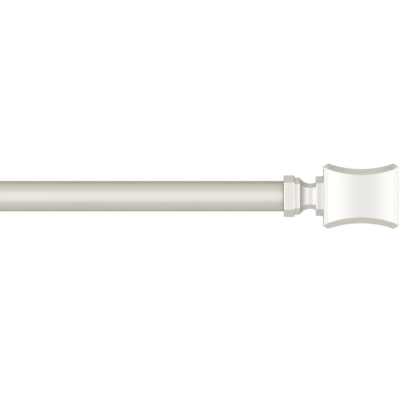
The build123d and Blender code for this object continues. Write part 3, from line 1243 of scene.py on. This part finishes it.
    def cup(self) -> Shell:
        """The open cup: a flat strip with cut lips, wrapped about its screw hole and bent to a U.

        The strip's height is measured from the hole. Down from there it bends half a turn about the rod's
        axis: the angle is the length below the hole over the middle radius, from nothing to half a turn, and
        what is left of the height runs straight on. Distance out is radius cos angle, and height is the rest
        times cos angle minus radius sin angle.

        Returns:
            The cup's shell.
        """
        wall, land, middle = self.cup_wall, self.cup_land, self.cup_radius + self.cup_wall / 2
        wide, top = self.hub_half, self.cup_height
        bottom = pi * middle + self.cup_height
        upper = (wide + top - self.cup_lip) / sqrt(2)
        lower = (wide + bottom - self.cup_lip) / sqrt(2)
        rim = rounded([(land, 0), (0, 0), (0, wall), (land, wall)], [0, self.edge, self.edge, 0])
        distances = np.array([wide, upper, top, upper, wide, lower, bottom, lower])
        outside = outlines(
            EIGHT_WAYS, distances - rim[:, :1], np.full(8, self.long_edge), steps=3, flats=16
        )
        relief, mouth = self.boss_bore + self.edge, self.cup_hole_break
        hole = np.array([(wall, relief), (mouth, relief), (0.0, relief + mouth)])
        sheet = sheet_round_hole(outside, rim[:, 1], hole, self.cup_rows)
        depth, breadth, height = np.moveaxis(sheet, -1, 0)
        radius = self.cup_radius + depth
        angle = np.clip(-height / middle, 0, pi)
        rest = height + angle * middle
        risen = rest * np.cos(angle) - radius * np.sin(angle)
        points = np.stack([radius * np.cos(angle), breadth, risen], axis=-1)
        return skin(Heading.OUT.place(points, self.out_from_wall(self.projection)), closed=True)

    def pin(self) -> Shell:
        """The pin across the hub, its rounded ends a little proud of the hub's sides.

        Returns:
            The pin's shell.
        """
        reach, radius, edge = self.hub_half + self.pin_proud, self.pin_radius, self.pin_edge
        line = [(-reach, radius / 3), (-reach, radius), (reach, radius), (reach, radius / 3)]
        rings = turned(rounded(line, [0, edge, edge, 0]), self.pin_around)
        return skin(Heading.RIGHT.place(rings, self.out_from_wall((self.hub_back + self.hub_floor) / 2)))


@dataclass(frozen=True)
class SoftBox:
    """A soft lamp: its direction and its reach seen from the subject, in degrees, and how bright it looks."""

    name: str
    azimuth: float
    elevation: float
    half_wide: float
    half_high: float
    glow: float
    distance: float = 1.0
    tint: str = "#EEF1FF"

    def build(self, subject: Array) -> None:
        """Puts the lamp up, turned to the subject and hidden from the camera itself.

        A flat lamp that looks as bright from every side gives pi times its glow from each square metre.

        Args:
            subject: the place that it lights, in metres.
        """
        turn, rise = radians(self.azimuth), radians(self.elevation)
        back = np.array([np.sin(turn) * np.cos(rise), -np.cos(turn) * np.cos(rise), np.sin(rise)])
        lamp = bpy.data.lights.new(self.name, "AREA")
        lamp.shape = "RECTANGLE"
        lamp.size = 2 * self.distance * tan(radians(self.half_wide))
        lamp.size_y = 2 * self.distance * tan(radians(self.half_high))
        lamp.energy = self.glow * pi * lamp.size * lamp.size_y
        lamp.color = linear(self.tint)[:3]
        stand = bpy.data.objects.new(self.name, lamp)
        stand.location = subject + back * self.distance
        stand.rotation_euler = (pi / 2 - rise, 0, turn)
        stand.visible_camera = False
        bpy.context.scene.collection.objects.link(stand)


@dataclass(frozen=True)
class MattFloor(Finish):
    """Matt white board: pale and even, with a faint cloud in its tone, and lost in white far away."""

    board: str
    cloud: str
    mirrored: str
    centre: tuple[float, float, float]
    fade_start: float
    fade_end: float
    cloud_size: float = 500.0
    cloud_detail: float = 1.0
    roughness: float = 0.9

    def shade(self, tree: bpy.types.NodeTree) -> bpy.types.Node:
        """Clouds the board's tone, lets its far rim pass into white, and shows it pale to mirrors.

        Args:
            tree: the material's nodes.

        Returns:
            The surface's shader.
        """
        colour, _ = self.mottle(tree, self.cloud_size, self.cloud_detail, self.cloud, self.board)
        board = add_node(
            tree, "ShaderNodeBsdfPrincipled", {"Roughness": self.roughness}, {"Base Color": colour}
        )
        place = add_node(tree, "ShaderNodeTexCoord")
        reach = add_node(
            tree, "ShaderNodeVectorMath", {"operation": "DISTANCE", 1: self.centre},
            {0: place.outputs["Object"]},
        )
        fade = add_node(
            tree, "ShaderNodeMapRange",
            {"interpolation_type": "SMOOTHSTEP", "From Min": self.fade_start, "From Max": self.fade_end},
            {"Value": reach.outputs["Value"]},
        )
        far = add_node(
            tree, "ShaderNodeMix",
            {"data_type": "RGBA", MIX_FIRST: linear(self.mirrored), MIX_SECOND: linear(WHITE)},
            {MIX_SHARE: fade.outputs["Result"]},
        )
        white = add_node(tree, "ShaderNodeEmission", {"Strength": 1.0}, {"Color": far.outputs[MIX_COLOUR]})
        path = add_node(tree, "ShaderNodeLightPath")
        rim = add_node(
            tree, "ShaderNodeMath", {"operation": "MULTIPLY"},
            {0: fade.outputs["Result"], 1: path.outputs["Is Camera Ray"]},
        )
        mirrored = add_node(
            tree, "ShaderNodeMath", {"operation": "MAXIMUM"},
            {0: path.outputs["Is Glossy Ray"], 1: path.outputs["Is Transmission Ray"]},
        )
        share = add_node(
            tree, "ShaderNodeMath", {"operation": "MAXIMUM"}, {0: rim.outputs[0], 1: mirrored.outputs[0]}
        )
        return add_node(
            tree, "ShaderNodeMixShader", None,
            {0: share.outputs[0], 1: board.outputs[0], 2: white.outputs[0]},
        )


@dataclass(frozen=True)
class Studio:
    """A pale floor, white surroundings, soft lamps and a camera with a long lens."""

    picture_width: float = 211.1
    picture_left_of_tube_end: float = 44.1
    picture_below_axis: float = 2.02
    lens: float = 1200.0
    sensor: float = 36.0
    clip_reach: float = 4.0
    floor_board: str = "#EAE8E2"
    floor_cloud: str = "#E7E5DF"
    floor_mirrored: str = "#F4F2EA"
    floor_drop: float = 1.2
    floor_radius: float = 2.4
    floor_middle: float = 0.02
    floor_rings: int = 24
    floor_around: int = 96
    fade_start: float = 0.6
    fade_end: float = 1.8
    ambient: float = 0.65
    overhead: str = "#D3D1C9"
    overhead_start: float = 0.3
    overhead_full: float = 0.7
    lamps: tuple[SoftBox, ...] = (
        SoftBox("left_soft_box", -43.5, 3.0, 25.5, 41.0, 1.1),
        SoftBox("right_soft_box", 44.0, 3.0, 25.0, 41.0, 1.1),
        SoftBox("front_soft_box", -2.0, 3.0, 18.0, 38.0, 0.34),
        SoftBox("top_soft_box", 0.0, 70.0, 24.0, 30.0, 0.3, tint="#F8F3E6"),
        SoftBox("far_left_soft_box", -98.0, 5.0, 26.0, 28.0, 0.35, 2.0),
        SoftBox("far_right_soft_box", 88.0, 5.0, 22.0, 28.0, 0.5, 2.0),
    )

    def build(self) -> None:
        """Sets up the floor, the surroundings, the lamps and the camera."""
        low, high = box_of("outer_tube")
        left, depth = high[0] - self.picture_left_of_tube_end, (low[1] + high[1]) / 2
        subject = np.array([left, depth, -self.picture_below_axis]) * METRES
        self.lay_floor(subject)
        self.surround()
        for lamp in self.lamps:
            lamp.build(subject)
        self.set_camera(subject)

    def lay_floor(self, subject: Array) -> None:
        """Lays a round floor: rings of growing radius about the subject, at one height, round a small fan.

        Args:
            subject: the place that the picture shows, in metres.
        """
        centre = np.array([subject[0], subject[1], -self.floor_drop])
        angle = np.linspace(0, 2 * pi, self.floor_around, endpoint=False)
        radius = np.linspace(self.floor_middle, 1, self.floor_rings)[:, None] * self.floor_radius
        flat = np.broadcast_arrays(radius * np.cos(angle), radius * np.sin(angle), 0 * angle)
        shell = skin(np.stack(flat, axis=-1) + centre)
        inner = shell.triangles[: len(angle)]
        mesh = bpy.data.meshes.new("floor")
        mesh.from_pydata(shell.points.tolist(), [], shell.quads.tolist() + inner.tolist())
        finish = MattFloor(
            "matt white floor board", self.floor_board, self.floor_cloud, self.floor_mirrored, tuple(centre),
            self.fade_start, self.fade_end,
        )
        mesh.materials.append(finish.material())
        floor = bpy.data.objects.new("floor", mesh)
        bpy.context.scene.collection.objects.link(floor)

    def surround(self) -> None:
        """Sets the surroundings: white to the camera, and an even light for all else.

        Mirrors see the white too, and a grey ceiling above it.
        """
        world = bpy.data.worlds.new("white surroundings")
        world.use_nodes = True
        tree = world.node_tree
        tree.nodes.clear()
        path = add_node(tree, "ShaderNodeLightPath")
        seen = add_node(
            tree, "ShaderNodeMath", {"operation": "MAXIMUM"},
            {0: path.outputs["Is Camera Ray"], 1: path.outputs["Is Glossy Ray"]},
        )
        seen = add_node(
            tree, "ShaderNodeMath", {"operation": "MAXIMUM"},
            {0: seen.outputs[0], 1: path.outputs["Is Transmission Ray"]},
        )
        way = add_node(tree, "ShaderNodeTexCoord")
        height = add_node(tree, "ShaderNodeSeparateXYZ", None, {0: way.outputs["Generated"]})
        above = add_node(
            tree, "ShaderNodeMapRange",
            {
                "interpolation_type": "SMOOTHSTEP", "From Min": self.overhead_start,
                "From Max": self.overhead_full,
            },
            {"Value": height.outputs["Z"]},
        )
        share = add_node(
            tree, "ShaderNodeMath", {"operation": "SUBTRACT", "use_clamp": True},
            {0: above.outputs["Result"], 1: path.outputs["Is Camera Ray"]},
        )
        colour = add_node(
            tree, "ShaderNodeMix",
            {"data_type": "RGBA", MIX_FIRST: linear(WHITE), MIX_SECOND: linear(self.overhead)},
            {MIX_SHARE: share.outputs[0]},
        )
        plain = add_node(tree, "ShaderNodeBackground", {"Color": linear(WHITE), "Strength": self.ambient})
        white = add_node(
            tree, "ShaderNodeBackground", {"Strength": 1.0}, {"Color": colour.outputs[MIX_COLOUR]}
        )
        mix = add_node(
            tree, "ShaderNodeMixShader", None,
            {0: seen.outputs[0], 1: plain.outputs[0], 2: white.outputs[0]},
        )
        add_node(tree, "ShaderNodeOutputWorld", None, {"Surface": mix.outputs[0]})
        bpy.context.scene.world = world

    def set_camera(self, subject: Array) -> None:
        """Sets a level camera in front of the subject, as far off as its lens needs for the picture's width.

        Args:
            subject: the place that it looks at, in metres.
        """
        data = bpy.data.cameras.new("camera")
        data.lens = self.lens
        data.sensor_width = self.sensor
        distance = self.picture_width * METRES * self.lens / self.sensor
        data.clip_end = self.clip_reach * distance
        camera = bpy.data.objects.new("camera", data)
        camera.location = subject - np.array([0, distance, 0])
        camera.rotation_euler = (pi / 2, 0, 0)
        bpy.context.scene.collection.objects.link(camera)
        bpy.context.scene.camera = camera


def main() -> None:
    """Builds and dresses the rod, the finials, the brackets and their screws, and sets the studio up."""
    logging.basicConfig(level=logging.INFO, format="%(name)s: %(message)s")
    bpy.context.scene.view_settings.view_transform = "Standard"
    palette = {slot: finish.material() for slot, finish in FINISHES.items()}
    assemblies: list[SubAssembly] = [Rod()]
    for side in Side:
        assemblies += [
            Finial(side),
            Bracket(side),
            ThumbScrew(f"{side.value}_arm_screw", Heading.DOWN),
            ThumbScrew(f"{side.value}_rod_screw", Heading.OUT),
        ]
    for assembly in assemblies:
        assembly.build()
        assembly.dress(palette)
    Studio().build()
    LOG.info("%d pieces dressed", sum(len(assembly.pieces) for assembly in assemblies))


if __name__ == "__main__":
    main()
